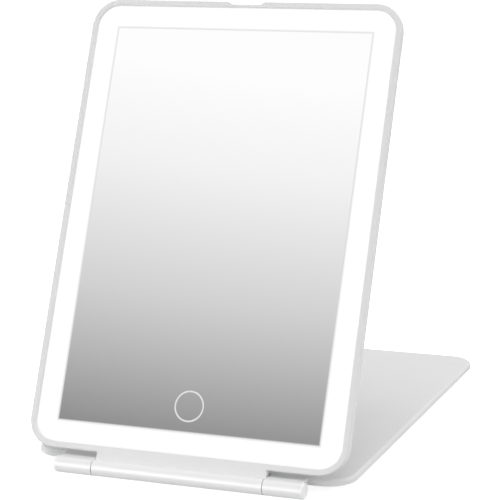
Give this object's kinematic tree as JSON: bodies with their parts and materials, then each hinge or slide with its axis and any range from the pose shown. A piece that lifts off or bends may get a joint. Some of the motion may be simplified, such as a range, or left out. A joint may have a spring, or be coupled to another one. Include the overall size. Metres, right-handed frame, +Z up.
{
  "type": "lighted folding makeup mirror",
  "caption": "Slim tablet-shaped makeup mirror with a lit border and a touch ring, standing on its own hinged cover, which folds flat over the glass.",
  "frame": {"origin": "on the floor, below the middle of the standing mirror's width and depth", "axes": "+Z up; +X along the hinge, to the right of someone facing the glass; +Y away from that person, towards the far end of the cover"},
  "size_m": [0.1524, 0.2234, 0.202],
  "materials": {
    "white_shell": "white satin moulded plastic",
    "clear_glass": "polished, frosted from behind at the border",
    "silver": "vacuum-deposited silver on the back of the glass",
    "ring_mark": "translucent print, lit from behind",
    "bond_tape": "clear double-sided bonding film",
    "diffuser_film": "opal film",
    "clear_acrylic": "polished acrylic with a dotted back",
    "reflector_film": "white reflecting film",
    "flex_circuit": "white flexible circuit",
    "led_phosphor": "pale yellow phosphor",
    "copper_foil": "bare copper foil",
    "contact_foam": "conductive foam",
    "circuit_board": "green solder mask",
    "chip_black": "moulded chip case",
    "connector_nylon": "natural nylon",
    "socket_steel": "drawn stainless shell",
    "hinge_steel": "ground and oiled",
    "screw_steel": "zinc plated",
    "pouch_foil": "laminated foil pouch",
    "lead_red": "insulated lead",
    "lead_black": "insulated lead",
    "pad_rubber": "pale grey rubber"
  },
  "bodies": {
    "base": {"base_outer_shell": "white_shell", "base_inner_panel": "white_shell", "rest_pad_left": "pad_rubber", "rest_pad_right": "pad_rubber", "hinge_pin_left": "hinge_steel", "hinge_pin_right": "hinge_steel", "hinge_cap_left": "white_shell", "hinge_cap_right": "white_shell"},
    "head": {"front_frame": "white_shell", "rear_shell": "white_shell", "mirror_glass": "clear_glass", "silver_coating": "silver", "touch_ring": "ring_mark", "glass_bond_tape": "bond_tape", "diffuser_sheet": "diffuser_film", "light_guide": "clear_acrylic", "reflector_sheet": "reflector_film", "touch_sensor_pad": "copper_foil", "touch_contact_foam": "contact_foam", "led_strip": "flex_circuit", "leds": "led_phosphor", "led_flex_tail": "flex_circuit", "control_board": "circuit_board", "touch_chip": "chip_black", "charge_chip": "chip_black", "led_driver_chip": "chip_black", "battery_plug": "connector_nylon", "flex_connector": "connector_nylon", "board_screws": "screw_steel", "usb_c_socket": "socket_steel", "battery_cell": "pouch_foil", "battery_tape": "bond_tape", "battery_lead_red": "lead_red", "battery_lead_black": "lead_black", "friction_sleeve_left": "hinge_steel", "friction_sleeve_right": "hinge_steel"}
  },
  "joints": [
    {"name": "fold", "type": "hinge", "parent": "base", "child": "head", "pos_m": [0, -0.10808, 0.00365], "axis": [1, 0, 0], "range_deg": [-4, 294.35]}
  ]
}
